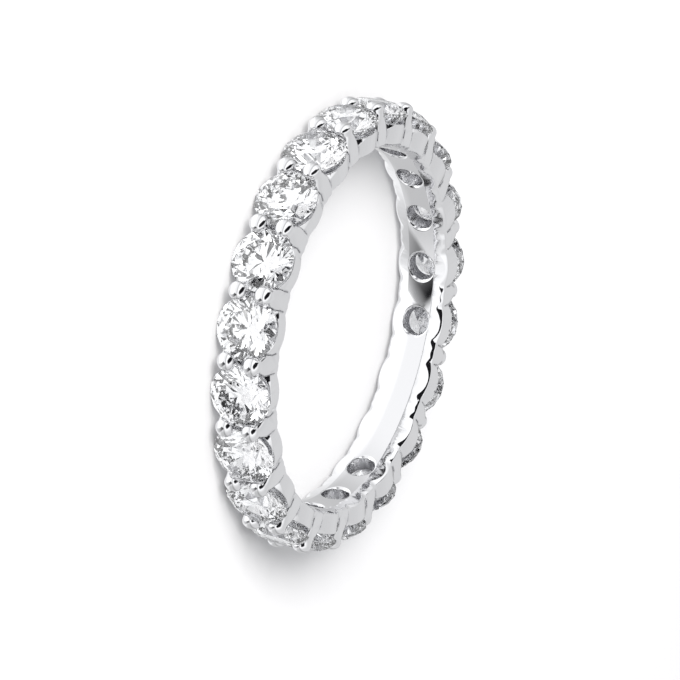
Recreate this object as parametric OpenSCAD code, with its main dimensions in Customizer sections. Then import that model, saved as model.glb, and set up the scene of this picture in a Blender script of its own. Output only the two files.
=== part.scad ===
// Full eternity ring: round brilliants held by shared claws all the way round.
// It lies on its side: the finger axis is +Z and the floor is z = 0.

/* [Ring] */
// Inside diameter, the finger size
bore_d = 17; // [16.8:0.1:17.6]
// Half width of the straight finger surface, between its two flared margins
flat_half = 0.66; // [0.6:0.02:0.7]
// Angle by which the margins flare
flare_angle = 15; // [10:1:18]
// Height of the cup walls above the finger surface
cup_h = 1.15; // [1.0:0.05:1.3]
// Thickness of metal left under a stone where the wall is not pierced
floor_t = 0.22; // [0.15:0.01:0.3]

/* [Stones] */
// Diameter of a stone at its girdle
stone_d = 3.0; // [2.8:0.05:3.0]
// Depth of the pavilion, as a share of the diameter
pavilion_share = 0.425; // [0.41:0.005:0.44]
// Thickness of the girdle, as a share of the diameter
girdle_share = 0.03; // [0.02:0.005:0.04]
// Height of the crown, as a share of the diameter
crown_share = 0.145; // [0.12:0.005:0.17]
// Width of the table across its corners, as a share of the diameter
table_share = 0.58; // [0.53:0.01:0.62]

/* [Cups] */
// Half width of a cup's bevelled foot at the bore's radius, along the ring's axis
cup_foot = 0.97; // [0.92:0.01:1.06]
// Half width of a cup above its bevelled foot
cup_waist = 1.32; // [1.24:0.01:1.33]
// Half width of a cup at its rim, just under the stone's girdle
cup_rim = 1.38; // [1.34:0.01:1.42]
// Diameter of the round window under a stone
window_d = 1.3; // [1.0:0.05:1.4]
// Width of the chamfer round a window
window_chamfer = 0.07; // [0.04:0.01:0.1]

/* [Pillars and claws] */
// Width of a pillar, round the ring
pillar_w = 0.94; // [0.8:0.02:1.0]
// Half width of a pillar above its bevelled foot
pillar_waist = 1.2; // [1.16:0.02:1.3]
// Half width of a pillar's bevelled foot at the bore's radius
pillar_foot = 0.84; // [0.8:0.02:0.9]
// Height of the bevel at the foot of the cups and pillars
bevel_h = 0.24; // [0.12:0.02:0.26]
// Diameter of a claw and of the bead at its tip
claw_d = 0.86; // [0.76:0.02:0.9]
// Distance of a bead's centre from the middle plane of the ring
bead_offset = 0.645; // [0.6:0.005:0.7]
// Height of a bead's centre above the stone's girdle
bead_rise = 0.25; // [0.2:0.01:0.4]

/* [Hidden] */
stone_count = 20;
// Stones are turned in their seats by this step, so that neighbours sparkle differently
turn_step = 7.5;
turn_count = 3;
// The two stones that sit over the closed, plain stretch of the finger surface
plain_stones = [3, 4];
bore_r = bore_d / 2;
pitch = 360 / stone_count;
// Clearance between a stone and its seat
gap = 0.03;
stone_r = stone_d / 2;
half_step = 22.5;
pavilion_h = pavilion_share * stone_d;
girdle_h = girdle_share * stone_d;
crown_h = crown_share * stone_d;
culet_at = bore_r + floor_t + gap;
girdle_at = culet_at + pavilion_h;
girdle_top = girdle_at + girdle_h;
table_at = girdle_top + crown_h;
table_r = table_share * stone_r;
table_flat = table_r * cos(half_step);
star_r = (table_flat + stone_r) / 2;
star_at = table_at - crown_h * (star_r * cos(half_step) - table_r) / (stone_r - table_r);
lower_r = 0.23 * stone_r;
lower_at = culet_at + pavilion_h * lower_r * cos(half_step) / stone_r;
rim_at = bore_r + cup_h;
waist_at = bore_r + bevel_h;
band_mid = stone_r;
bead_at = girdle_at + bead_rise;
claw_r = claw_d / 2;
// How far below the finger surface a solid starts, to be cut off by the bore
root = 0.4;
// Small step past a face, so that two cut faces never coincide
sliver = 0.02;
// Distance from the middle plane to the axis that a cup's far side is turned about
side_axis = 1.07;
// Half width of a claw's cone where the pillars' bevel ends
cone_waist = 1.5;
// Half width of the ring of metal inside the cups, along the ring's axis
gallery_half = 0.7;
// Half width of the groove between two claws, at its bottom
saddle_half = 0.08;
$fn = 96;

function two_digits(n) = str(n < 10 ? "0" : "", n);
function stone_name(n) = str("stone_", two_digits(n));
stone_numbers = [for (n = [1:stone_count]) n];

// Local frame of a seat: x runs outwards, y round the ring, z along its axis.
module at_turn(turn) {
  translate([0, 0, band_mid]) rotate([0, 0, turn]) children();
}

module at_stone(n) {
  at_turn((n - 0.5) * pitch) children();
}

module at_pillar(n) {
  at_turn(n * pitch) children();
}

// Turns a solid of revolution from the z axis to the outward x axis.
module outward() {
  rotate([0, 90, 0]) children();
}

// Cutter for a stone's seat: its outline turned round, larger by the gap.
module seat() {
  outward() rotate_extrude()
    polygon([
      [0, culet_at - 1.4 * gap],
      [lower_r + gap, lower_at - gap],
      [stone_r + gap, girdle_at - gap / 2],
      [stone_r + gap, girdle_top + gap / 2],
      [star_r + gap, star_at + gap],
      [table_r + gap, table_at + gap],
      [table_r + gap, table_at + stone_r],
      [0, table_at + stone_r]
    ]);
}

// Cutter for the round window under a stone, chamfered on the finger side.
module window() {
  r = window_d / 2;
  outward() rotate_extrude()
    polygon([
      [0, bore_r - 1],
      [r + window_chamfer + 1, bore_r - 1],
      [r, bore_r + window_chamfer],
      [r, culet_at + pavilion_h * r / stone_r],
      [0, culet_at + pavilion_h * r / stone_r]
    ]);
}

// One gently bulging side of a cup. The axis lies beyond the middle plane.
module cup_side(side) {
  translate([0, 0, -side * side_axis]) outward() rotate_extrude()
    polygon([
      [0, bore_r - root],
      [side_axis + cup_foot, bore_r - root],
      [side_axis + cup_foot, bore_r - sliver],
      [side_axis + cup_waist, waist_at],
      [side_axis + cup_rim, rim_at],
      [0, rim_at]
    ]);
}

// Two bulging sides, rounded off towards the pillars by a cone that widens inwards.
module cup() {
  spread = 0.5;
  deep = cup_h + root;
  intersection() {
    cup_side(1);
    cup_side(-1);
    outward() translate([0, 0, bore_r - root])
      cylinder(h = deep + sliver, r1 = cup_rim + spread * deep, r2 = cup_rim);
  }
}

// Outline that all pillars are trimmed to: flat sides, straight flanks, bevelled foot.
module pillar_outline() {
  far = 4;
  shoulder = bead_offset + claw_r + sliver;
  lean = (pillar_waist - shoulder) / (bead_at - waist_at);
  translate([0, pillar_w / 2, 0]) rotate([90, 0, 0])
    linear_extrude(pillar_w)
      polygon([
        [bore_r - root, -pillar_foot],
        [bore_r - sliver, -pillar_foot],
        [waist_at, -pillar_waist],
        [waist_at + far, lean * far - pillar_waist],
        [waist_at + far, pillar_waist - lean * far],
        [waist_at, pillar_waist],
        [bore_r - sliver, pillar_foot],
        [bore_r - root, pillar_foot]
      ]);
}

// A claw is a leaning cone, narrow at its bead. Lower down it is wider than the
// outline, so that only the claw's upper end is round.
module claw_cone(side) {
  run = bead_at - waist_at;
  outer_lean = atan((cone_waist - bead_offset - claw_r) / run);
  inner_lean = atan((bead_offset - claw_r + cone_waist) / run);
  taper = tan(outer_lean) + tan(inner_lean);
  tip = claw_d / taper;
  half_angle = (outer_lean + inner_lean) / 2;
  lean = (inner_lean - outer_lean) / 2;
  near = 0.8 * tip;
  deep = run + tip + 1.5 * root;
  apex_z = bead_offset + claw_r - tip * tan(outer_lean);
  translate([bead_at + tip, 0, side * apex_z])
    rotate([0, -side * lean, 0]) outward() translate([0, 0, -deep])
      cylinder(h = deep - near, r1 = deep * tan(half_angle), r2 = near * tan(half_angle));
}

module pillar() {
  intersection() {
    union() {
      claw_cone(1);
      claw_cone(-1);
    }
    pillar_outline();
  }
}

module bead(side) {
  translate([bead_at, 0, side * bead_offset]) sphere(r = claw_r + sliver / 2);
}

// Groove that parts the two claws of every pair, down to the saddle.
module saddle_groove() {
  saddle_at = rim_at + 0.05;
  bead_half = bead_offset - claw_r - sliver;
  far = table_at + 1;
  translate([0, 0, band_mid]) rotate_extrude()
    polygon([
      [saddle_at, -saddle_half],
      [bead_at, -bead_half],
      [far, -bead_half],
      [far, bead_half],
      [bead_at, bead_half],
      [saddle_at, saddle_half]
    ]);
}

// The closed ring of metal that ties the cups and pillars together.
module gallery_ring() {
  below_rim = 0.35;
  cylinder(h = 2 * gallery_half, r = rim_at - below_rim, center = true);
}

// Cutter for the finger: a straight bore, flared at both margins.
module finger_bore() {
  far = band_mid + 1;
  wide = bore_r + tan(flare_angle) * (far - flat_half);
  translate([0, 0, band_mid]) rotate_extrude()
    polygon([
      [0, -far],
      [wide, -far],
      [bore_r, -flat_half],
      [bore_r, flat_half],
      [wide, far],
      [0, far]
    ]);
}

module band() color([0.86, 0.87, 0.88]) {
  difference() {
    union() {
      at_turn(0) gallery_ring();
      for (n = stone_numbers) at_stone(n) cup();
      for (n = stone_numbers) at_pillar(n) {
        pillar();
        bead(1);
        bead(-1);
      }
    }
    saddle_groove();
    finger_bore();
    for (n = stone_numbers) at_stone(n) {
      seat();
      if (len(search(n, plain_stones)) == 0) window();
    }
  }
}

// Round brilliant with a table, 8 stars, 8 mains, 16 halves, a girdle of
// 16 sides, 16 lower halves and 8 pavilion mains. Its axis is +Z here.
function ring_points(count, r, h, turn) =
  [for (k = [0:count - 1]) [r * cos(turn + k * 360 / count), r * sin(turn + k * 360 / count), h]];

module brilliant() {
  points = concat(
    ring_points(8, table_r, table_at, 0),
    ring_points(8, star_r, star_at, half_step),
    ring_points(16, stone_r, girdle_top, 0),
    ring_points(16, stone_r, girdle_at, 0),
    ring_points(8, lower_r, lower_at, half_step),
    [[0, 0, culet_at]]
  );
  star = 8;
  top = 16;
  bottom = 32;
  lower = 48;
  culet = 56;
  eight = [0:7];
  faces = concat(
    [[for (k = [7:-1:0]) k]],
    [for (k = eight) [k, (k + 1) % 8, star + k]],
    [for (k = eight) [k, star + k, top + 2 * k, star + (k + 7) % 8]],
    [for (k = eight) [star + k, top + 2 * k + 1, top + 2 * k]],
    [for (k = eight) [star + k, top + (2 * k + 2) % 16, top + 2 * k + 1]],
    [for (k = [0:15]) [top + k, top + (k + 1) % 16, bottom + (k + 1) % 16, bottom + k]],
    [for (k = eight) [bottom + 2 * k, bottom + 2 * k + 1, lower + k]],
    [for (k = eight) [bottom + 2 * k + 1, bottom + (2 * k + 2) % 16, lower + k]],
    [for (k = eight) [bottom + 2 * k, lower + k, culet, lower + (k + 7) % 8]]
  );
  polyhedron(points = points, faces = faces);
}

module stone(n) color([0.95, 0.97, 1.0, 0.6]) {
  at_stone(n) outward() rotate([0, 0, (n % turn_count) * turn_step]) brilliant();
}

band();
for (n = stone_numbers) stone(n);
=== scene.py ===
"""Dresses a diamond eternity ring that lies on its side.

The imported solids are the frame. The band is made again here as one smooth
casting with softened edges, the brilliants keep their cut solids and get a
diamond finish, and a pale floor, soft light and a camera complete the scene.
Sizes of the ring are in millimetres until a mesh is made from them.
"""

from __future__ import annotations

import logging
import math
from dataclasses import dataclass, field
from enum import Enum
from itertools import product

import bpy
import numpy as np
from mathutils import Matrix, Vector

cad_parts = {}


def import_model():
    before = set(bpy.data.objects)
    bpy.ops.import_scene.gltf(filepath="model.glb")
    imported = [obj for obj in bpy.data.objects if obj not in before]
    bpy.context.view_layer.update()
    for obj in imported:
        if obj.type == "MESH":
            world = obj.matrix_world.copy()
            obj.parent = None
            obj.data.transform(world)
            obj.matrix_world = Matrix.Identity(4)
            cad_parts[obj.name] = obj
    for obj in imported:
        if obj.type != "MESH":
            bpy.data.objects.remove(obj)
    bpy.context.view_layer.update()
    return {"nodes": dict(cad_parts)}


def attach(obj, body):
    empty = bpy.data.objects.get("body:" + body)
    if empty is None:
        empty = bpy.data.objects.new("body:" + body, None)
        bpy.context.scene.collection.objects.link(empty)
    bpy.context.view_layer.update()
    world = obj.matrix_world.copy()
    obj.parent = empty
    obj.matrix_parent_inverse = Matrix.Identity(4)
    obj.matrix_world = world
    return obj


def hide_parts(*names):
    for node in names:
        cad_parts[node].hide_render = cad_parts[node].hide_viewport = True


LOG = logging.getLogger("ring")
MM = 0.001
TINY = 1e-9
Array = np.ndarray
Colour = tuple[float, float, float, float]
Tone = tuple[float, float, float]
Place = tuple[float, float, float]


class Window(Enum):
    """Whether the finger surface is pierced under a stone."""

    ROUND = "round"
    NONE = "none"


# Sizes


@dataclass(frozen=True)
class StoneSizes:
    """Sizes of one brilliant and of the clearance round it.

    Attributes:
        diameter: Width at the girdle.
        pavilion: Depth under the girdle.
        girdle: Thickness of the girdle.
        crown: Height over the girdle.
        table: Width of the table across its corners.
        gap: Clearance between the stone and its seat.
    """

    diameter: float = 3.0
    pavilion: float = 1.275
    girdle: float = 0.09
    crown: float = 0.435
    table: float = 1.74
    gap: float = 0.03


@dataclass(frozen=True)
class BandSizes:
    """Sizes of the band. Radii and heights are measured from the finger axis.

    Attributes:
        count: Number of stones, and of claw pairs.
        plain: Numbers of the stones that sit over the closed stretch.
        bore: Radius of the finger hole.
        flat_half: Half width of the straight finger surface.
        flare: Angle by which its margins flare, in degrees.
        floor: Metal left under a stone where the wall is closed.
        rim: Height of the cups' rim.
        rim_cone: Widening of the cone that rounds that rim, and its depth.
        waist: Height at which the bevelled foot ends.
        side_axis: How far a cup's side is turned about beyond the middle.
        cup_foot: Half width of a cup at the finger surface.
        cup_waist: Half width of a cup above its foot.
        cup_rim: Half width of a cup at its rim.
        window: Radius of the round windows.
        chamfer: Width of the chamfer round a window.
        pillar_half: Half width of a pillar, round the ring.
        pillar_waist: Half width of a pillar above its foot.
        pillar_foot: Half width of a pillar at the finger surface.
        cone_waist: Half width of a claw's cone where the foot ends.
        claw: Radius of a claw at its bead.
        claw_end: Where a claw ends, as a share of the way from its apex to the bead.
        bead_offset: Distance of a bead from the middle plane.
        bead_at: Height of the beads' centres.
        bead_proud: How far a bead stands out over its claw.
        bead_depth: Depth under its centre at which a bead ends.
        bead_gap: How far a pillar's side and the groove by it stay off the beads.
        saddle_at: Height of the bottom of the groove between two claws.
        saddle_half: Half width of that groove at its bottom.
    """

    count: int = 20
    plain: tuple[int, ...] = (3, 4)
    bore: float = 8.5
    flat_half: float = 0.66
    flare: float = 15.0
    floor: float = 0.22
    rim: float = 9.65
    rim_cone: tuple[float, float] = (0.5, 1.0)
    waist: float = 8.74
    side_axis: float = 1.07
    cup_foot: float = 0.97
    cup_waist: float = 1.32
    cup_rim: float = 1.38
    window: float = 0.65
    chamfer: float = 0.07
    pillar_half: float = 0.47
    pillar_waist: float = 1.2
    pillar_foot: float = 0.84
    cone_waist: float = 1.5
    claw: float = 0.43
    claw_end: float = 0.8
    bead_offset: float = 0.645
    bead_at: float = 10.275
    bead_proud: float = 0.008
    bead_depth: float = 0.3
    bead_gap: float = 0.02
    saddle_at: float = 9.7
    saddle_half: float = 0.08

    @property
    def half_turn(self) -> float:
        """Half of the angle that one stone takes up, in radians."""
        return math.pi / self.count


@dataclass(frozen=True)
class Softening:
    """Radii to which a polisher rounds the casting's edges.

    Attributes:
        edge: Outer edges of the cups and pillars.
        post: Upright edges of the pillars, near the finger.
        claw: Change from a pillar's flat side to its round claws.
        foot: Edge between the sides and their bevelled foot.
        finger: Edge between the bevelled foot and the finger surface.
        flare: Edge where the finger surface starts to flare.
        window: Edge of the windows.
        seat: Edge of the stones' seats.
        saddle: Corners at the bottom of the groove between two claws.
        neck: Hollow where a bead meets its claw.
        joint: Hollow where a pillar meets a cup.
        wave: The same hollow near the finger, where it is polished away.
        groove: Radius of the thin groove along that hollow.
        groove_edge: Edges of that groove.
        groove_end: How far its radius falls under nothing near the finger.
        fade: Height over which the foot's soft form turns into the crisp one.
        bead: Height of a bead's dome as a share of its radius.
        dome: Radius of the slight dome across the finger surface.
    """

    edge: float = 0.06
    post: float = 0.3
    claw: float = 1.5
    foot: float = 0.12
    finger: float = 0.3
    flare: float = 0.35
    window: float = 0.08
    seat: float = 0.03
    saddle: float = 0.06
    neck: float = 0.02
    joint: float = 0.04
    wave: float = 0.3
    groove: float = 0.02
    groove_edge: float = 0.01
    groove_end: float = 0.02
    fade: float = 0.35
    bead: float = 0.72
    dome: float = 7.0


@dataclass(frozen=True)
class Turns:
    """Angles by which the surface turns at its blunter edges, in degrees.

    Attributes:
        cup_foot: From a cup's side to its bevelled foot.
        cup_rim: From a cup's side to the cone that rounds its rim.
        pillar_foot: From a pillar's side to its bevelled foot.
        claw: From a pillar's flat side to its claws.
        finger: From the bevelled foot to the finger surface.
        window: From the finger surface to a window's chamfer.
    """

    cup_foot: float = 52.0
    cup_rim: float = 25.0
    pillar_foot: float = 60.0
    claw: float = 20.0
    finger: float = 20.0
    window: float = 48.0


# Shape of the casting


def meet(a: Array, b: Array, radius: float | Array, turn: float = 90.0) -> Array:
    """Distance to the overlap of two shapes, its edge rounded.

    Args:
        a: Distances to the first shape, negative inside.
        b: Distances to the second shape.
        radius: Radius of the rounded edge.
        turn: Angle by which the surface turns at the edge, in degrees.

    Returns:
        Distances to the overlap.
    """
    c, s = math.cos(math.radians(turn)), math.sin(math.radians(turn))
    u, v = a + radius, b + radius
    arc = np.sqrt(np.maximum(u**2 + v**2 - 2 * c * u * v, 0)) / s - radius
    return np.where((u > c * v) & (v > c * u), arc, np.maximum(a, b))


def blend(a: Array, b: Array, reach: float | Array) -> Array:
    """Distance to the union of two shapes, with a fillet of width reach between them."""
    return np.minimum(a, b) - np.maximum(reach - np.abs(a - b), 0) ** 2 / (4 * reach)


def below(u: Array, v: Array, start: tuple[float, float], end: tuple[float, float]) -> Array:
    """Distance past a straight line in the plane of two coordinates.

    Args:
        u: First coordinate.
        v: Second coordinate.
        start: A point of the line.
        end: Another point of it. What lies to its right is outside.

    Returns:
        Distances, negative to the left of the line.
    """
    du, dv = end[0] - start[0], end[1] - start[1]
    size = math.hypot(du, dv)
    return ((u - start[0]) * dv - (v - start[1]) * du) / size


def turned(p: Array, angle: Array) -> Array:
    """Turns points or directions, one a row, about the finger axis, each by its angle."""
    c, s = np.cos(angle), np.sin(angle)
    return np.stack([p[:, 0] * c - p[:, 1] * s, p[:, 0] * s + p[:, 1] * c, p[:, 2]], 1)


@dataclass(frozen=True)
class Casting:
    """The band's form round one stone, as a distance from its surface.

    Points are in the stone's own frame: x runs outwards through the stone, y
    round the ring and z along the finger axis. The pillar's frame is the same
    one turned to the pillar. Distances are negative inside.

    Attributes:
        band: Sizes of the band.
        stone: Sizes of its stones.
        soft: How far its edges are rounded.
        turns: How far the surface turns at the blunter ones.
        probe: Distance to either side over which a slope is measured.
    """

    band: BandSizes
    stone: StoneSizes
    soft: Softening
    turns: Turns = field(default_factory=Turns)
    probe: float = 0.004

    @property
    def girdle_at(self) -> float:
        """Height of the underside of the girdle."""
        return self.band.bore + self.band.floor + self.stone.gap + self.stone.pavilion

    def crisp(self, r: Array) -> Array:
        """How crisp the form is: 0 at the finger, 1 higher up."""
        share = np.clip((r - self.band.waist) / self.soft.fade, 0, 1)
        return share**2 * (3 - 2 * share)

    def cup(self, x: Array, y: Array, z: Array) -> Array:
        """Distance to the cup with its two bulging sides.

        Args:
            x, y, z: Coordinates in the stone's frame.

        Returns:
            One distance a point.
        """
        b, soft, off = self.band, self.soft, self.band.side_axis
        bulge = np.hypot(y, np.abs(z) + off)
        side = below(bulge, x, (off + b.cup_waist, b.waist), (off + b.cup_rim, b.rim))
        foot = below(bulge, x, (off + b.cup_foot, b.bore), (off + b.cup_waist, b.waist))
        low = (b.cup_rim + b.rim_cone[0], b.rim - b.rim_cone[1])
        cone = below(np.hypot(y, z), x, low, (b.cup_rim, b.rim))
        body = meet(side, foot, soft.foot, self.turns.cup_foot)
        body = meet(body, cone, 2 * soft.edge, self.turns.cup_rim)
        return meet(body, x - b.rim, soft.seat)

    def claw(self, x: Array, y: Array, z: Array) -> Array:
        """Distance to one leaning claw under its bead.

        Args:
            x, y, z: Coordinates in the pillar's frame, z towards the claw.

        Returns:
            One distance a point.
        """
        b = self.band
        run = b.bead_at - b.waist
        outer = math.atan((b.cone_waist - b.bead_offset - b.claw) / run)
        inner = math.atan((b.bead_offset - b.claw + b.cone_waist) / run)
        tip = 2 * b.claw / (math.tan(outer) + math.tan(inner))
        half, lean = (outer + inner) / 2, (inner - outer) / 2
        apex = b.bead_offset + b.claw - tip * math.tan(outer)
        dx, dz = b.bead_at + tip - x, apex - z
        along = dx * math.cos(lean) + dz * math.sin(lean)
        across = np.hypot(y, dz * math.cos(lean) - dx * math.sin(lean))
        flank = across * math.cos(half) - along * math.sin(half)
        return np.maximum(flank, b.claw_end * tip - along)

    def pillar(self, x: Array, y: Array, z: Array) -> Array:
        """Distance to a pillar with its claws and beads.

        Args:
            x, y, z: Coordinates in the pillar's frame.

        Returns:
            One distance a point.
        """
        b, soft, out = self.band, self.soft, np.abs(z)
        claws = np.minimum(self.claw(x, y, z), self.claw(x, y, -z))
        top = (b.bead_offset + b.claw + b.bead_gap, b.bead_at)
        side = below(out, x, (b.pillar_waist, b.waist), top)
        foot = below(out, x, (b.pillar_foot, b.bore), (b.pillar_waist, b.waist))
        faces = meet(side, foot, soft.foot, self.turns.pillar_foot)
        edge = soft.post + (soft.edge - soft.post) * self.crisp(x)
        trunk = meet(claws, faces, soft.claw, self.turns.claw)
        trunk = meet(trunk, np.abs(y) - b.pillar_half, edge)
        dome = np.maximum(x - b.bead_at - (1 - soft.bead) * b.claw, 0) / soft.bead
        bead = np.sqrt(dome**2 + y**2 + (out - b.bead_offset) ** 2) - b.claw - b.bead_proud
        return blend(trunk, np.maximum(bead, b.bead_at - b.bead_depth - x), soft.neck)

    def finger(self, r: Array, z: Array) -> Array:
        """Distance to what lies outside the flared finger hole.

        Args:
            r: Distances from the finger axis.
            z: Coordinates along it.

        Returns:
            One distance a point.
        """
        b, dome = self.band, 2 * self.soft.dome
        tilt = math.radians(b.flare)
        straight = b.bore + z**2 / dome - r
        margin = b.bore + b.flat_half**2 / dome + math.tan(tilt) * (np.abs(z) - b.flat_half) - r
        bend = b.flare - math.degrees(2 * b.flat_half / dome)
        return meet(straight, margin * math.cos(tilt), self.soft.flare, bend)

    def seat(self, x: Array, y: Array, z: Array) -> Array:
        """Distance to the cutter of the stone's seat.

        Args:
            x, y, z: Coordinates in the stone's frame.

        Returns:
            One distance a point.
        """
        s, gap = self.stone, self.stone.gap
        radius = np.hypot(y, z)
        r, low, top = s.diameter / 2, self.girdle_at, self.girdle_at + s.girdle
        slope = s.pavilion / r
        under = below(radius, x, (gap, low - slope * r - gap), (r + gap, low - gap / 2))
        table = (s.table / 2 + gap, top + s.crown + gap)
        over = below(radius, x, (r + gap, top + gap / 2), table)
        return np.maximum(np.maximum(under, over), radius - r - gap)

    def window(self, x: Array, y: Array, z: Array) -> Array:
        """Distance to the cutter of the round window.

        Args:
            x, y, z: Coordinates in the stone's frame.

        Returns:
            One distance a point.
        """
        b, radius = self.band, np.hypot(y, z)
        # The chamfer leans by 45 degrees, so this point is as far out as down
        low = (b.window + 1, b.bore + b.chamfer - 1)
        chamfer = below(radius, x, low, (b.window, b.bore + b.chamfer))
        return np.minimum(radius - b.window, chamfer)

    def saddle(self, r: Array, z: Array) -> Array:
        """Distance to the groove that parts the two claws of a pair.

        Args:
            r: Distances from the finger axis.
            z: Coordinates along it.

        Returns:
            One distance a point.
        """
        b = self.band
        bead_half = b.bead_offset - b.claw - b.bead_gap
        share = np.clip((r - b.saddle_at) / (b.bead_at - b.saddle_at), 0, 1)
        half = b.saddle_half + share * (bead_half - b.saddle_half)
        return meet(np.abs(z) - half, b.saddle_at - r, self.soft.saddle)

    def parts(self, p: Array) -> tuple[Array, Array]:
        """Distances to the cup and to the nearer pillar.

        Args:
            p: Points, one a row, in the stone's frame.

        Returns:
            The two lots of distances.
        """
        x, y, z = p.T
        turn = self.band.half_turn
        px = x * math.cos(turn) + np.abs(y) * math.sin(turn)
        py = np.abs(y) * math.cos(turn) - x * math.sin(turn)
        return self.cup(x, y, z), self.pillar(px, py, z)

    def distance(self, p: Array, window: Window) -> Array:
        """Distance from the finished casting, negative inside the metal.

        Args:
            p: Points, one a row, in the stone's frame.
            window: Whether there is a window under this stone.

        Returns:
            One distance a point.
        """
        x, y, z = p.T
        soft, r = self.soft, np.hypot(x, y)
        cup, pillar = self.parts(p)
        crisp = self.crisp(r)
        metal = blend(cup, pillar, soft.wave + (soft.joint - soft.wave) * crisp)
        metal = meet(metal, self.finger(r, z), soft.finger, self.turns.finger)
        groove = (soft.groove + soft.groove_end) * crisp - soft.groove_end
        metal = meet(metal, groove - np.hypot(cup, pillar), soft.groove_edge)
        metal = meet(metal, -self.saddle(r, z), soft.edge)
        metal = meet(metal, -self.seat(x, y, z), soft.seat)
        if window is Window.ROUND:
            metal = meet(metal, -self.window(x, y, z), soft.window, self.turns.window)
        return metal

    def slope(self, p: Array, window: Window) -> Array:
        """Outward direction of the surface.

        Args:
            p: Points, one a row, in the stone's frame.
            window: Whether there is a window under this stone.

        Returns:
            One direction a point, not yet of unit length.
        """
        out = np.empty_like(p)
        for axis in range(3):
            d = np.zeros(3)
            d[axis] = self.probe
            out[:, axis] = self.distance(p + d, window) - self.distance(p - d, window)
        return out / (2 * self.probe)


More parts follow.
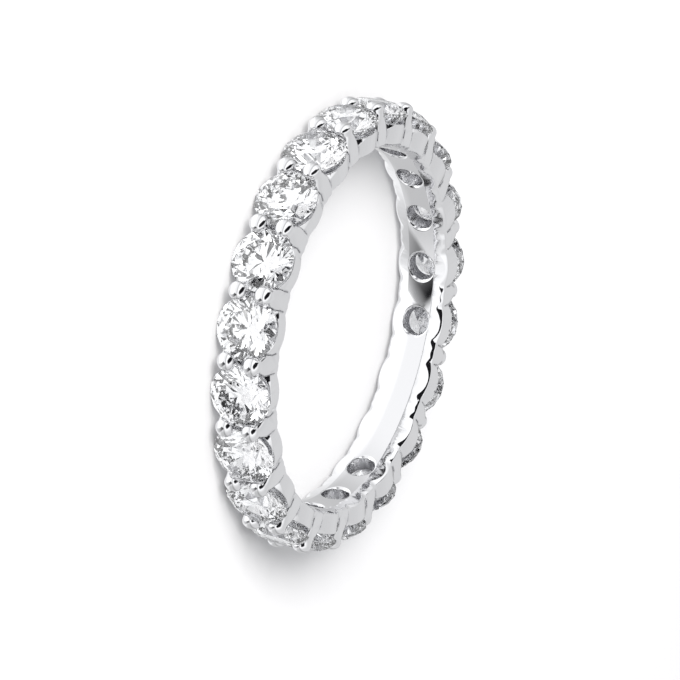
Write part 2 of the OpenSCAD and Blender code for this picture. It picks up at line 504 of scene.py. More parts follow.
@dataclass(frozen=True)
class Skin:
    """Turns a quarter of a stone's share of the casting into a mesh.

    Attributes:
        casting: The form to follow.
        step: Size of a face.
        even_at: Radius at which the faces are as wide round the ring.
        half_width: Half width of the casting, along the finger axis.
        start: Steps from the finger surface down to the grid's first points.
        extra: Steps by which the grid goes on past the outermost metal.
        passes: How often the points are settled and held on the mirror planes.
        rounds: Moves in each settling.
        least: Least square of a slope that a move is divided by.
        longest: Longest move along each axis.
    """

    casting: Casting
    step: float = 0.045
    even_at: float = 9.6
    half_width: float = 1.45
    start: float = 2.5
    extra: int = 3
    passes: int = 2
    rounds: int = 3
    least: float = 0.25
    longest: float = 0.03

    @property
    def across(self) -> int:
        """Number of faces from the stone's middle plane to the pillar's."""
        return round(self.casting.band.half_turn * self.even_at / self.step)

    @staticmethod
    def upright(polar: Array) -> Array:
        """Points in the stone's frame, from their angles, radii and heights."""
        turn, radius, height = polar.T
        return np.stack([radius * np.cos(turn), radius * np.sin(turn), height], 1)

    def grid(self) -> Array:
        """Lays a grid over the quarter, half a cell past its mirror planes.

        Returns:
            The angle, radius and height of every grid point.
        """
        b, h = self.casting.band, self.step
        t = (np.arange(self.across + 2) - 0.5) * (b.half_turn / self.across)
        r = np.arange(b.bore - self.start * h, b.bead_at + b.claw + self.extra * h, h)
        z = (np.arange(round(self.half_width / h) + self.extra) - 0.5) * h
        return np.stack(np.meshgrid(t, r, z, indexing="ij"), -1)

    @staticmethod
    def crossings(grid: Array, value: Array) -> tuple[Array, Array]:
        """Adds up where the surface crosses the edges of each cell.

        Args:
            grid: The grid points.
            value: Their distances from the metal.

        Returns:
            The sum of each cell's crossings, and how many there are.
        """
        cells = tuple(n - 1 for n in value.shape)
        total, hits = np.zeros((*cells, 3)), np.zeros(cells)

        def at(a: Array, c: tuple[int, ...]) -> Array:
            """What a holds at the corner c of every cell."""
            return a[tuple(slice(o, o + n) for o, n in zip(c, cells))]

        for axis, c in product(range(3), product((0, 1), repeat=3)):
            if c[axis]:
                continue
            other = tuple(1 if i == axis else o for i, o in enumerate(c))
            lo, hi = at(value, c), at(value, other)
            cross = (lo < 0) != (hi < 0)
            share = np.where(cross, lo / np.where(cross, lo - hi, 1), 0)[..., None]
            place = at(grid, c) * (1 - share) + at(grid, other) * share
            total += np.where(cross[..., None], place, 0)
            hits += cross
        return total, hits

    def quarter(self, window: Window) -> tuple[Array, Array]:
        """Makes the quarter between the stone's and the pillar's planes.

        Args:
            window: Whether this share has a window.

        Returns:
            Its points and its four-sided faces.
        """
        grid = self.grid()
        value = self.casting.distance(self.upright(grid.reshape(-1, 3)), window)
        value = value.reshape(grid.shape[:3])
        total, hits = self.crossings(grid, value)
        used = hits > 0
        index = np.full(used.shape, -1)
        index[used] = np.arange(used.sum())
        ids = np.argwhere(used)
        points = self.held(self.upright(total[used] / hits[used][:, None]), ids)
        for _ in range(self.passes):
            points = self.held(self.settle(points, window), ids)
        return points, self.faces(value, index)

    def settle(self, p: Array, window: Window) -> Array:
        """Moves points that lie near the surface onto it.

        Args:
            p: Points, one a row, in the stone's frame.
            window: Whether this share has a window.

        Returns:
            The moved points.
        """
        for _ in range(self.rounds):
            g = self.casting.slope(p, window)
            size = np.maximum((g**2).sum(1), self.least)
            move = (self.casting.distance(p, window) / size)[:, None] * g
            p = p - np.clip(move, -self.longest, self.longest)
        return p

    def held(self, p: Array, ids: Array) -> Array:
        """Keeps the points of the outermost cells on their mirror planes.

        Args:
            p: Points, one a row, in the stone's frame.
            ids: The cell of each point.

        Returns:
            The points, those of the outermost cells moved.
        """
        turn = self.casting.band.half_turn
        p = p.copy()
        p[ids[:, 0] == 0, 1] = 0.0
        p[ids[:, 2] == 0, 2] = 0.0
        side = ids[:, 0] == self.across
        along = p[side, 0] * math.cos(turn) + p[side, 1] * math.sin(turn)
        p[side, 0], p[side, 1] = along * math.cos(turn), along * math.sin(turn)
        return p

    @staticmethod
    def faces(value: Array, index: Array) -> Array:
        """Joins the cells round every grid edge that crosses the surface.

        Args:
            value: Distances of the grid points from the metal.
            index: Number of each cell's point, -1 where it has none.

        Returns:
            Corners of the faces, one face a row.
        """
        out = []
        for axis in range(3):
            lo = np.moveaxis(value, axis, 0)
            cell = np.moveaxis(index, axis, 0)
            a, b = lo[:-1, 1:-1, 1:-1] < 0, lo[1:, 1:-1, 1:-1] < 0
            ring = [cell[:, :-1, :-1], cell[:, 1:, :-1], cell[:, 1:, 1:], cell[:, :-1, 1:]]
            quads = np.stack(ring, -1)
            for inside, facing in ((a & ~b, quads), (~a & b, quads[..., ::-1])):
                picked = facing[inside]
                out.append(picked if axis == 1 else picked[:, ::-1])
        return np.concatenate(out)

    def share(self, window: Window) -> tuple[Array, Array]:
        """Makes a stone's whole share by mirroring its quarter twice.

        Args:
            window: Whether this share has a window.

        Returns:
            Its points and faces.
        """
        points, faces = self.quarter(window)
        for axis in (1, 2):
            flip = np.ones(3)
            flip[axis] = -1
            faces = np.concatenate([faces, faces[:, ::-1] + len(points)])
            points = np.concatenate([points, points * flip])
        return points, faces


# Meshes, objects and nodes


def plain_mesh(name: str, points: Array, faces: Array) -> bpy.types.Mesh:
    """Makes a mesh from points in millimetres.

    Args:
        name: The mesh's name.
        points: Points, one a row.
        faces: Corners of the faces, one face a row.

    Returns:
        The mesh, in metres.
    """
    mesh = bpy.data.meshes.new(name)
    mesh.from_pydata((points * MM).tolist(), [], faces.tolist())
    mesh.validate()
    return mesh


def mark(mesh: bpy.types.Mesh, name: str, values: Array) -> None:
    """Gives every point of a mesh a value that a material can read."""
    layer = mesh.attributes.new(name, "FLOAT", "POINT")
    layer.data.foreach_set("value", values.astype(np.float32))


def shown(name: str, data: bpy.types.ID) -> bpy.types.Object:
    """Puts a mesh, a light or a camera into the scene, at the origin.

    Args:
        name: The object's name.
        data: What it shows.

    Returns:
        The object.
    """
    thing = bpy.data.objects.new(name, data)
    bpy.context.scene.collection.objects.link(thing)
    return thing


def new_material(name: str) -> tuple[bpy.types.Material, bpy.types.NodeTree]:
    """Makes a material with Blender's first shader.

    Args:
        name: The material's name.

    Returns:
        The material and its tree.
    """
    mat = bpy.data.materials.new(name)
    mat.use_nodes = True
    return mat, mat.node_tree


def node(tree: bpy.types.NodeTree, kind: str, **values: object) -> bpy.types.Node:
    """Adds a node to a tree.

    Args:
        tree: The tree.
        kind: The node's type.
        values: Values of its inputs, by their names with _ for a space.

    Returns:
        The node.
    """
    added = tree.nodes.new(kind)
    for name, value in values.items():
        added.inputs[name.replace("_", " ")].default_value = value
    return added


def reckoned(tree: bpy.types.NodeTree, kind: str, *values: object) -> bpy.types.NodeSocket:
    """Adds a calculation to a tree.

    Args:
        tree: The tree.
        kind: The kind of calculation.
        values: Numbers, or sockets that give them.

    Returns:
        The socket that gives the result.
    """
    added = tree.nodes.new("ShaderNodeMath")
    added.operation = kind
    for socket, value in zip(added.inputs, values):
        if isinstance(value, bpy.types.NodeSocket):
            tree.links.new(value, socket)
        else:
            socket.default_value = value
    return added.outputs[0]


def colour_mix(tree: bpy.types.NodeTree, first: Colour, second: Colour) -> bpy.types.Node:
    """Adds a node that mixes two colours.

    Args:
        tree: The tree.
        first: The colour at a share of 0.
        second: The colour at a share of 1.

    Returns:
        The node, with the share as input 0 and the colour as output 2.
    """
    added = tree.nodes.new("ShaderNodeMix")
    added.data_type = "RGBA"
    added.inputs[6].default_value = first
    added.inputs[7].default_value = second
    return added


# Finishes


@dataclass(frozen=True)
class WhiteGold:
    """Polished white gold, with painted shade and more roughness in its grooves and window walls.

    Attributes:
        colour: Colour of the clean metal.
        crease_shade: Colour deep in the grooves.
        gloss: Roughness of the polished faces.
        uneven: Least and most roughness there, as shares of that.
        cloud: Scale of these changes, for each metre.
        cloud_detail: Finer steps in them.
        dull: Roughness that a deep groove adds.
        grain: Scale of the fine polishing marks, for each metre.
        grain_strength: How far they show.
        grain_depth: Their depth, in metres.
    """

    colour: Colour = (0.80, 0.80, 0.81, 1.0)
    crease_shade: Colour = (0.50, 0.50, 0.52, 1.0)
    gloss: float = 0.06
    uneven: tuple[float, float] = (0.6, 1.5)
    cloud: float = 900.0
    cloud_detail: float = 3.0
    dull: float = 0.3
    grain: float = 2500.0
    grain_strength: float = 0.03
    grain_depth: float = 0.00001

    def material(self) -> bpy.types.Material:
        """Builds the material.

        Returns:
            The material, which reads the attribute for its painted shade and extra roughness.
        """
        mat, tree = new_material("polished_white_gold")
        tree.nodes.clear()
        out = node(tree, "ShaderNodeOutputMaterial")
        shader = node(tree, "ShaderNodeBsdfPrincipled", Metallic=1.0)
        place = node(tree, "ShaderNodeTexCoord")
        recess_shade = node(tree, "ShaderNodeAttribute")
        recess_shade.attribute_name = "recess_shade"
        # Painted shade: the colour darkens towards grey in the grooves and window walls, where shade
        # would fall.
        tint = colour_mix(tree, self.colour, self.crease_shade)
        cloud = node(tree, "ShaderNodeTexNoise", Scale=self.cloud, Detail=self.cloud_detail)
        low, high = (self.gloss * share for share in self.uneven)
        spread = node(tree, "ShaderNodeMapRange", To_Min=low, To_Max=high)
        shade_share = recess_shade.outputs["Fac"]
        rough = reckoned(tree, "MULTIPLY_ADD", shade_share, self.dull, spread.outputs["Result"])
        fine = node(tree, "ShaderNodeTexNoise", Scale=self.grain)
        bump = node(tree, "ShaderNodeBump", Strength=self.grain_strength, Distance=self.grain_depth)
        link = tree.links.new
        link(place.outputs["Object"], cloud.inputs["Vector"])
        link(place.outputs["Object"], fine.inputs["Vector"])
        link(shade_share, tint.inputs[0])
        link(tint.outputs[2], shader.inputs["Base Color"])
        link(cloud.outputs["Fac"], spread.inputs["Value"])
        link(rough, shader.inputs["Roughness"])
        link(fine.outputs["Fac"], bump.inputs["Height"])
        link(bump.outputs["Normal"], shader.inputs["Normal"])
        link(shader.outputs["BSDF"], out.inputs["Surface"])
        return mat


@dataclass(frozen=True)
class Diamond:
    """Clear polished diamond.

    Attributes:
        index: Refractive index.
        colour: Colour of the light that gets through.
    """

    index: float = 2.417
    colour: Colour = (0.985, 0.99, 1.0, 1.0)

    def material(self) -> bpy.types.Material:
        """Builds the material.

        Returns:
            The material.
        """
        mat, tree = new_material("cut_diamond")
        shader = tree.nodes["Principled BSDF"]
        shader.inputs["Roughness"].default_value = 0.0
        shader.inputs["IOR"].default_value = self.index
        shader.inputs["Transmission Weight"].default_value = 1.0
        shader.inputs["Base Color"].default_value = self.colour
        return mat


# Pieces


@dataclass(frozen=True)
class RecessShade:
    """Where painted shade darkens the metal in its creases and window walls, and where it is
    rougher.

    Attributes:
        line: Strength of the painted shade and roughness at the middle of the line between cup and
            pillar, cut off at 1.
        line_fade: Distance over which it falls by 1.
        wall: How far past its radius the painted shade on a window's wall reaches.
        wall_fade: Height over which that wall turns shaded and rough.
    """

    line: float = 1.5
    line_fade: float = 0.04
    wall: float = 0.03
    wall_fade: float = 0.05


@dataclass
class Band:
    """The polished band, which stands for the solid of the same name.

    Attributes:
        sizes: Sizes of the band.
        stone: Sizes of the stones it holds.
        soft: How far its edges are polished round.
        dull: Where painted shade darkens it and it is rougher.
        finish: Its metal.
        weld: Distance within which the points of two shares are joined.
        most_faces: Most triangles that the piece may have.
    """

    sizes: BandSizes = field(default_factory=BandSizes)
    stone: StoneSizes = field(default_factory=StoneSizes)
    soft: Softening = field(default_factory=Softening)
    dull: RecessShade = field(default_factory=RecessShade)
    finish: WhiteGold = field(default_factory=WhiteGold)
    weld: float = 0.002
    most_faces: int = 190000

    @property
    def casting(self) -> Casting:
        """The form that the band follows."""
        return Casting(self.sizes, self.stone, self.soft)

    @staticmethod
    def repeat_tree() -> bpy.types.NodeTree:
        """Builds the tree that sets the shares of the band round the finger.

        Returns:
            A tree with named inputs for the count, the plain stretch, the
            height of the middle plane, the weld and the metal.
        """
        tree = bpy.data.node_groups.new("settings_round_the_finger", "GeometryNodeTree")
        face, link = tree.interface, tree.links.new
        face.new_socket("Geometry", in_out="OUTPUT", socket_type="NodeSocketGeometry")
        for name, kind in (
            ("Setting", "NodeSocketGeometry"),
            ("Count", "NodeSocketInt"),
            ("First Plain", "NodeSocketInt"),
            ("Last Plain", "NodeSocketInt"),
            ("Middle Height", "NodeSocketFloat"),
            ("Weld Distance", "NodeSocketFloat"),
            ("Plain Setting", "NodeSocketObject"),
            ("Metal", "NodeSocketMaterial"),
        ):
            face.new_socket(name, in_out="INPUT", socket_type=kind)
        given, out = node(tree, "NodeGroupInput").outputs, node(tree, "NodeGroupOutput")
        points, lift = node(tree, "GeometryNodePoints"), node(tree, "ShaderNodeCombineXYZ")
        link(given["Count"], points.inputs["Count"])
        link(given["Middle Height"], lift.inputs["Z"])
        link(lift.outputs[0], points.inputs["Position"])
        number = node(tree, "GeometryNodeInputIndex").outputs[0]
        step = reckoned(tree, "DIVIDE", math.tau, given["Count"])
        angle = reckoned(tree, "MULTIPLY", reckoned(tree, "ADD", number, 0.5), step)
        turn = node(tree, "ShaderNodeCombineXYZ")
        link(angle, turn.inputs["Z"])
        # Points count from 0 and stones from 1, and each limit lies halfway between two points
        first = reckoned(tree, "SUBTRACT", given["First Plain"], 1.5)
        last = reckoned(tree, "SUBTRACT", given["Last Plain"], 0.5)
        after = reckoned(tree, "GREATER_THAN", number, first)
        before = reckoned(tree, "LESS_THAN", number, last)
        plain = reckoned(tree, "MULTIPLY", after, before)
        pierced = reckoned(tree, "SUBTRACT", 1.0, plain)
        join, other = node(tree, "GeometryNodeJoinGeometry"), node(tree, "GeometryNodeObjectInfo")
        link(given["Plain Setting"], other.inputs["Object"])
        for chosen, shape in ((pierced, given["Setting"]), (plain, other.outputs["Geometry"])):
            place = node(tree, "GeometryNodeInstanceOnPoints")
            link(points.outputs[0], place.inputs["Points"])
            link(chosen, place.inputs["Selection"])
            link(shape, place.inputs["Instance"])
            link(turn.outputs[0], place.inputs["Rotation"])
            link(place.outputs[0], join.inputs[0])
        real = node(tree, "GeometryNodeRealizeInstances")
        weld = node(tree, "GeometryNodeMergeByDistance")
        smooth = node(tree, "GeometryNodeSetShadeSmooth")
        dress = node(tree, "GeometryNodeSetMaterial")
        link(given["Weld Distance"], weld.inputs["Distance"])
        link(given["Metal"], dress.inputs["Material"])
        link(join.outputs[0], real.inputs["Geometry"])
        link(real.outputs[0], weld.inputs["Geometry"])
        link(weld.outputs[0], smooth.inputs["Geometry"])
        link(smooth.outputs[0], dress.inputs["Geometry"])
        link(dress.outputs[0], out.inputs[0])
        return tree

    def build(self) -> bpy.types.Object:
        """Makes the band.

        Returns:
            The finished piece.
        """
        skin = Skin(self.casting)
        piece = shown("band_casting", plain_mesh("pierced_setting", *skin.share(Window.ROUND)))
        plain = shown("plain_setting", plain_mesh("plain_setting", *skin.share(Window.NONE)))
        values = {
            "Count": self.sizes.count,
            "First Plain": min(self.sizes.plain),
            "Last Plain": max(self.sizes.plain),
            "Middle Height": self.stone.diameter / 2 * MM,
            "Weld Distance": self.weld * MM,
            "Plain Setting": plain,
            "Metal": self.finish.material(),
        }
        tree = self.repeat_tree()
        modifier = piece.modifiers.new("settings", "NODES")
        modifier.node_group = tree
        for item in tree.interface.items_tree:
            if item.in_out == "INPUT" and item.name in values:
                modifier[item.identifier] = values[item.name]
        self.bake(piece)
        bpy.data.objects.remove(plain)
        full = self.thin(piece)
        self.set_normals_and_shade(piece.data)
        LOG.info("band: %d triangles, from %d", len(piece.data.polygons), full)
        return piece

    @staticmethod
    def bake(piece: bpy.types.Object) -> None:
        """Works a piece's modifiers into its mesh and removes them.

        Args:
            piece: The piece.
        """
        graph = bpy.context.evaluated_depsgraph_get()
        piece.data = bpy.data.meshes.new_from_object(piece.evaluated_get(graph))
        piece.modifiers.clear()

    def thin(self, piece: bpy.types.Object) -> int:
        """Takes faces away if the piece has too many.

        Args:
            piece: The piece.

        Returns:
            How many triangles it had.
        """
        piece.data.calc_loop_triangles()
        full = len(piece.data.loop_triangles)
        if full > self.most_faces:
            fewer = piece.modifiers.new("fewer_faces", "DECIMATE")
            fewer.ratio = self.most_faces / full
            self.bake(piece)
        return full

    def recess_shade(self, local: Array) -> Array:
        """How strongly painted shade darkens points and how far roughness rises there.

        Args:
            local: Points, one a row, in their stone's frame.

        Returns:
            One share a point, from 0, clean, to 1, fully shaded and rough.
        """
        x, y, z = local.T
        dull, casting = self.dull, self.casting
        # Painted shade along the lines between cups and pillars and on the window walls, where shade
        # would fall.
        beside = np.hypot(*casting.parts(local))
        line = casting.crisp(np.hypot(x, y)) * np.clip(dull.line - beside / dull.line_fade, 0, 1)
        height = x - self.sizes.bore - self.sizes.chamfer
        inside = np.hypot(y, z) - self.sizes.window < dull.wall
        return np.maximum(line, np.clip(height / dull.wall_fade, 0, 1) * inside)

    def set_normals_and_shade(self, mesh: bpy.types.Mesh) -> None:
        """Gives the mesh the casting's own normals and marks where painted shade darkens it.

        Args:
            mesh: The whole band, in metres.
        """
        co = np.empty(len(mesh.vertices) * 3, np.float32)
        mesh.vertices.foreach_get("co", co)
        p = co.reshape(-1, 3).astype(float) / MM
        p[:, 2] -= self.stone.diameter / 2
        pitch = 2 * self.sizes.half_turn
        number = np.floor(np.arctan2(p[:, 1], p[:, 0]) % math.tau / pitch)
        turn = (number + 0.5) * pitch
        local = turned(p, -turn)
        plain = np.isin(number + 1, self.sizes.plain)
        normal = np.empty_like(local)
        for kind, chosen in ((Window.ROUND, ~plain), (Window.NONE, plain)):
            if chosen.any():
                normal[chosen] = self.casting.slope(local[chosen], kind)
        normal /= np.maximum(np.linalg.norm(normal, axis=1, keepdims=True), TINY)
        # Marks the painted shade in the creases and window walls, which the metal also roughens.
        mark(mesh, "recess_shade", self.recess_shade(local))
        mesh.normals_split_custom_set_from_vertices(turned(normal, turn).tolist())


@dataclass
class Brilliants:
    """The twenty brilliants, which keep their cut solids.

    Attributes:
        nodes: The stones' objects by name.
        finish: Their finish.
    """

    nodes: dict[str, bpy.types.Object]
    finish: Diamond = field(default_factory=Diamond)

    def dress(self) -> int:
        """Gives every stone the diamond finish.

        Returns:
            How many stones were dressed.
        """
        clear = self.finish.material()
        for stone in self.nodes.values():
            if not stone.material_slots:
                stone.data.materials.append(clear)
            for slot in stone.material_slots:
                slot.material = clear
        return len(self.nodes)


# Studio


@dataclass(frozen=True)
class Floor:
    """A plain pale floor.

    Attributes:
        half: Half of its width, in metres.
        colour: Its colour.
        mottled: Colour of its darker patches, as a share of that.
        mottle: Scale of those patches, for each metre.
        rough: Its roughness.
        gloss: Strength of its reflection.
    """

    half: float = 1.5
    colour: Colour = (0.63, 0.63, 0.64, 1.0)
    mottled: float = 0.99
    mottle: float = 40.0
    rough: float = 0.8
    gloss: float = 0.1

    def material(self) -> bpy.types.Material:
        """Builds the floor's material.

        Returns:
            The material.
        """
        mat, tree = new_material("pale_floor")
        shader = tree.nodes["Principled BSDF"]
        shader.inputs["Roughness"].default_value = self.rough
        shader.inputs["Specular IOR Level"].default_value = self.gloss
        place = node(tree, "ShaderNodeTexCoord")
        cloud = node(tree, "ShaderNodeTexNoise", Scale=self.mottle)
        darker = tuple(v * self.mottled for v in self.colour[:3]) + (1.0,)
        tint = colour_mix(tree, self.colour, darker)
        tree.links.new(place.outputs["Object"], cloud.inputs["Vector"])
        tree.links.new(cloud.outputs["Fac"], tint.inputs[0])
        tree.links.new(tint.outputs[2], shader.inputs["Base Color"])
        return mat

    def build(self) -> bpy.types.Object:
        """Makes the floor, which polished faces don't see.

        Returns:
            The floor.
        """
        mesh = bpy.data.meshes.new("floor")
        h = self.half
        mesh.from_pydata([(-h, -h, 0), (h, -h, 0), (h, h, 0), (-h, h, 0)], [], [(0, 1, 2, 3)])
        mesh.materials.append(self.material())
        floor = shown("floor", mesh)
        floor.visible_glossy = False
        return floor


@dataclass(frozen=True)
class Softbox:
    """A round soft light.

    Attributes:
        name: Its name.
        place: Its centre, in millimetres.
        aim: The point it faces, in millimetres.
        width: Its diameter, in millimetres.
        power: Its power in watts.
        colour: Its colour.
    """

    name: str
    place: Place
    aim: Place
    width: float
    power: float
    colour: Tone = (1.0, 0.985, 0.96)

    def build(self) -> bpy.types.Object:
        """Makes the light, which no camera and no polished face sees.

        Returns:
            The light.
        """
        lamp = bpy.data.lights.new(self.name, "AREA")
        lamp.shape = "DISK"
        lamp.size = self.width * MM
        lamp.energy = self.power
        lamp.color = self.colour
        thing = shown(self.name, lamp)
        place = Vector(self.place) * MM
        facing = (place - Vector(self.aim) * MM).to_track_quat("Z", "Y")
        thing.matrix_world = Matrix.Translation(place) @ facing.to_matrix().to_4x4()
        thing.visible_camera = thing.visible_glossy = False
        return thing


@dataclass(frozen=True)
class Strip:
    """A long black strip bent round the ring, seen only in its metal and stones.

    Attributes:
        name: Its name.
        middle: The point it is bent round, in millimetres.
        towards: Direction of its middle line from that point.
        along: Direction in which it runs there.
        reach: Its distance, in millimetres.
        ends: Angles at which it ends on either side, in degrees.
        fade: Angles over which it fades out at those ends.
        places: Angles along it at which its width is given.
        lower: Angles from the middle line to its lower edge, at those places.
        upper: Angles to its upper edge, at those places.
        lower_soft: Angle over which the lower edge fades.
        soft: Angle over which the upper edge fades.
        cut: Angle past which nothing is left of that edge.
        cut_soft: Angle over which the strip fades before that.
        colour: Its colour.
        rows: Points of its mesh along it.
        columns: Points of its mesh across it.
    """

    name: str
    middle: Place
    towards: Place
    along: Place
    reach: float = 200.0
    ends: tuple[float, float] = (-27.0, 95.0)
    fade: tuple[float, float] = (9.0, 15.0)
    places: tuple[float, ...] = (-24.0, -12.0, 6.0, 30.0, 52.0, 66.0)
    lower: tuple[float, ...] = (-27.0, -27.0, -27.0, -27.0, -20.0, -14.0)
    upper: tuple[float, ...] = (-8.0, 6.0, 13.0, 16.0, 16.0, 3.0)
    lower_soft: float = 3.0
    soft: float = 3.0
    cut: float = 90.0
    cut_soft: float = 1.5
    colour: Colour = (0.01, 0.01, 0.012, 1.0)
    rows: int = 95
    columns: int = 41

    def share(self, turn: Array, side: Array) -> Array:
        """How solid the strip is.

        Args:
            turn: Angles along it, in degrees.
            side: Angles across it, in degrees.

        Returns:
            Shares from 0, clear, to 1, black.
        """
        lower, upper = (np.interp(turn, self.places, edge) for edge in (self.lower, self.upper))
        edges = np.minimum((side - lower) / self.lower_soft, (upper - side) / self.soft)
        edges = np.minimum(edges, (self.cut - side) / self.cut_soft)
        ends = np.minimum((turn - self.ends[0]) / self.fade[0], (self.ends[1] - turn) / self.fade[1])
        return np.clip(edges, 0, 1) * np.clip(ends, 0, 1)

    def material(self) -> bpy.types.Material:
        """Builds the strip's material.

        Returns:
            The material, which reads the attribute share.
        """
        mat, tree = new_material("black_strip")
        tree.nodes.clear()
        out, mix = node(tree, "ShaderNodeOutputMaterial"), node(tree, "ShaderNodeMixShader")
        glow = node(tree, "ShaderNodeEmission", Color=self.colour)
        clear, place = node(tree, "ShaderNodeBsdfTransparent"), node(tree, "ShaderNodeAttribute")
        place.attribute_name = "share"
        tree.links.new(place.outputs["Fac"], mix.inputs[0])
        tree.links.new(clear.outputs[0], mix.inputs[1])
        tree.links.new(glow.outputs[0], mix.inputs[2])
        tree.links.new(mix.outputs[0], out.inputs["Surface"])
        return mat

    def build(self) -> bpy.types.Object:
        """Makes the strip, which the camera, diffuse light and shadows don't see.

        Returns:
            The strip.
        """
        rows, columns = self.rows, self.columns
        turn = np.repeat(np.linspace(*self.ends, rows), columns)
        side = np.tile(np.linspace(min(self.lower), max(self.upper), columns), rows)
        t, w = np.radians(turn)[:, None], np.radians(side)[:, None]
        a, b = np.array(self.towards), np.array(self.along)
        points = np.cos(w) * (np.cos(t) * a + np.sin(t) * b) + np.sin(w) * np.cross(a, b)
        first = (np.arange(rows - 1)[:, None] * columns + np.arange(columns - 1)).ravel()
        faces = np.stack([first, first + 1, first + columns + 1, first + columns], 1)
        mesh = plain_mesh(self.name, points * self.reach + np.array(self.middle), faces)
        mark(mesh, "share", self.share(turn, side))
        mesh.materials.append(self.material())
        strip = shown(self.name, mesh)
        strip.visible_camera = strip.visible_diffuse = strip.visible_shadow = False
        return strip


@dataclass(frozen=True)
class PhotoCamera:
    """The camera of the photograph.

    Attributes:
        elevation: Angle above the floor, in degrees.
        azimuth: Angle round the finger axis, in degrees.
        roll: Turn about the line of sight, in degrees.
        reach: Distance from the ring's centre, in millimetres.
        focal: Focal length in pixels of the picture.
        centre: Where the ring's centre falls in the picture, in pixels.
        picture: Width of the picture, in pixels.
        sensor: Width of the sensor, in millimetres.
        clip: Nearest and farthest distance that it sees, in metres.
    """

    elevation: float = 24.12
    azimuth: float = -15.01
    roll: float = 101.96
    reach: float = 321.0
    focal: float = 6928.0
    centre: tuple[float, float] = (340.4, 324.5)
    picture: float = 680.0
    sensor: float = 36.0
    clip: tuple[float, float] = (0.01, 10.0)

    def axes(self) -> tuple[Vector, Vector, Vector]:
        """Directions of the picture.

        Returns:
            The picture's right, its up, and the way back to the camera.
        """
        e, a, r = (math.radians(v) for v in (self.elevation, self.azimuth, self.roll))
        back = Vector((math.sin(a) * math.cos(e), -math.cos(a) * math.cos(e), math.sin(e)))
        right = (-back).cross(Vector((0, 0, 1))).normalized()
        up = right.cross(-back)
        return right * math.cos(r) + up * math.sin(r), up * math.cos(r) - right * math.sin(r), back

    def build(self, middle: float) -> bpy.types.Object:
        """Makes the camera and makes it the scene's own.

        Args:
            middle: Height of the ring's centre, in millimetres.

        Returns:
            The camera.
        """
        data = bpy.data.cameras.new("camera")
        data.sensor_width = self.sensor
        data.lens = self.focal * data.sensor_width / self.picture
        data.shift_x = (self.picture / 2 - self.centre[0]) / self.picture
        data.shift_y = (self.centre[1] - self.picture / 2) / self.picture
        data.clip_start, data.clip_end = self.clip
        camera = shown("camera", data)
        right, up, back = self.axes()
        place = Vector((0, 0, middle * MM)) + back * self.reach * MM
        facing = Matrix((right, up, back)).transposed().to_4x4()
        camera.matrix_world = Matrix.Translation(place) @ facing
        bpy.context.scene.camera = camera
        return camera


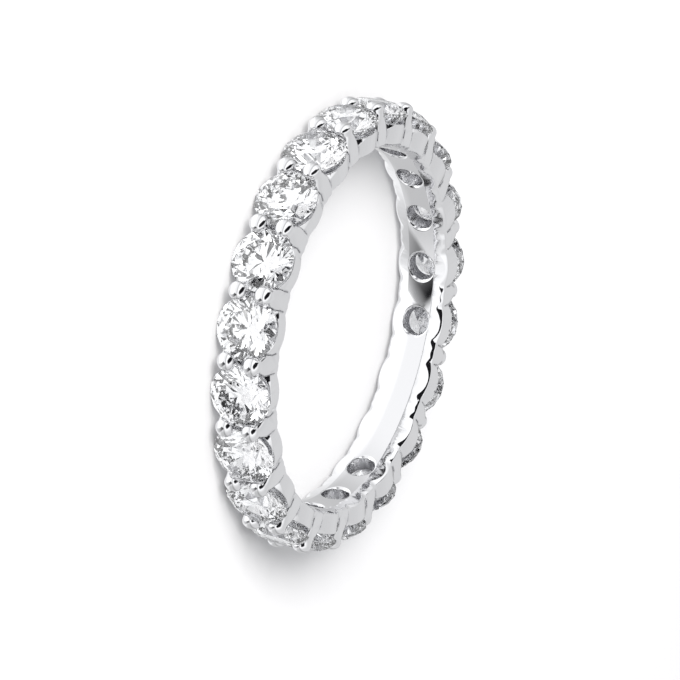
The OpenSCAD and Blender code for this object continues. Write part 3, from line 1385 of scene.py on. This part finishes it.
@dataclass
class Studio:
    """Floor, lights, surroundings and camera.

    Attributes:
        middle: Height of the ring's middle plane, in millimetres.
        sky: Brightness that the shares below are taken of.
        levels: Share by height, from -1, straight down, to 1, straight up.
        tint: Colour of the surroundings.
        bright_side: Direction of their brighter side.
        contrast: Further share opposite that side, and on it.
        turn: Cosines from that side between which one passes into the other.
        strip_run: How far the strips run to the picture's right, and upwards.
        bounces: Most bounces of light, also through the stones.
        gloss_bounces: Most bounces of light between polished faces.
        clamp: Brightness at which stray sparks of bounced light are cut off.
    """

    middle: float = 1.5
    sky: float = 1.40
    levels: tuple[tuple[float, float], ...] = (
        (-1.0, 0.75),
        (-0.8, 0.98),
        (-0.62, 1.0),
        (-0.45, 0.58),
        (-0.2, 0.58),
        (-0.06, 0.3),
        (0.08, 0.66),
        (0.41, 0.71),
        (1.0, 0.66),
    )
    tint: Tone = (0.985, 0.99, 1.0)
    bright_side: Place = (-0.6, -0.8, 0.0)
    contrast: tuple[float, float] = (0.82, 1.45)
    turn: tuple[float, float] = (-0.35, 0.75)
    strip_run: tuple[float, float] = (0.79, 0.61)
    bounces: int = 32
    gloss_bounces: int = 12
    clamp: float = 4.0

    def surround(self) -> None:
        """Makes the pale surroundings, darker towards the horizon."""
        world = bpy.data.worlds.new("studio")
        bpy.context.scene.world = world
        world.use_nodes = True
        tree = world.node_tree
        ground = tree.nodes["Background"]
        place, parts = node(tree, "ShaderNodeTexCoord"), node(tree, "ShaderNodeSeparateXYZ")
        height = node(tree, "ShaderNodeMapRange", From_Min=-1.0)
        ramp = node(tree, "ShaderNodeValToRGB")
        steps = ramp.color_ramp.elements
        while len(steps) < len(self.levels):
            # A new step starts halfway and gets its place in the next loop
            steps.new(0.5)
        for step, (z, level) in zip(steps, self.levels):
            step.position = (z + 1) / 2
            step.color = (*(level * v for v in self.tint), 1.0)
        side = node(tree, "ShaderNodeVectorMath")
        side.operation = "DOT_PRODUCT"
        side.inputs[1].default_value = self.bright_side
        tone = node(tree, "ShaderNodeMapRange", From_Min=self.turn[0], From_Max=self.turn[1])
        tone.interpolation_type = "SMOOTHSTEP"
        tone.inputs["To Min"].default_value = self.contrast[0] * self.sky
        tone.inputs["To Max"].default_value = self.contrast[1] * self.sky
        link = tree.links.new
        link(place.outputs["Generated"], parts.inputs[0])
        link(place.outputs["Generated"], side.inputs[0])
        link(parts.outputs["Z"], height.inputs["Value"])
        link(height.outputs["Result"], ramp.inputs[0])
        link(ramp.outputs[0], ground.inputs["Color"])
        link(side.outputs["Value"], tone.inputs["Value"])
        link(tone.outputs["Result"], ground.inputs["Strength"])

    def follow_light(self) -> None:
        """Sets how far light is followed, and a plain tone for the picture."""
        scene = bpy.context.scene
        scene.view_settings.view_transform = "Standard"
        scene.view_settings.look = "None"
        scene.cycles.max_bounces = self.bounces
        scene.cycles.transmission_bounces = self.bounces
        scene.cycles.glossy_bounces = self.gloss_bounces
        scene.cycles.sample_clamp_indirect = self.clamp
        scene.cycles.use_denoising = True

    def build(self) -> None:
        """Makes everything round the ring."""
        self.follow_light()
        self.surround()
        Floor().build()
        key = Softbox(
            name="key",
            place=(-260.0, -300.0, 240.0),
            aim=(2.0, 0.0, 0.0),
            width=280.0,
            power=3.6,
        )
        key.build()
        camera = PhotoCamera()
        right, up, back = camera.axes()
        along = (right * self.strip_run[0] + up * self.strip_run[1]).normalized()
        course = ((0.0, 0.0, self.middle), tuple(back), tuple(along))
        Strip("camera_flag", *course).build()
        side_flag = Strip(
            "side_flag",
            *course,
            reach=205.0,
            ends=(-140.0, -42.0),
            fade=(90.0, 6.0),
            places=(0.0,),
            lower=(-7.5,),
            upper=(30.0,),
            soft=20.0,
            cut=19.5,
        )
        side_flag.build()
        camera.build(self.middle)


def main() -> None:
    """Dresses the ring and reports each piece."""
    logging.basicConfig(level=logging.INFO, format="%(name)s: %(message)s")
    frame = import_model()
    band = Band()
    piece = band.build()
    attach(piece, "root")
    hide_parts("band")
    stones = {name: item for name, item in frame["nodes"].items() if name.startswith("stone_")}
    LOG.info("brilliants: %d", Brilliants(stones).dress())
    Studio(band.stone.diameter / 2).build()


if __name__ == "__main__":
    main()
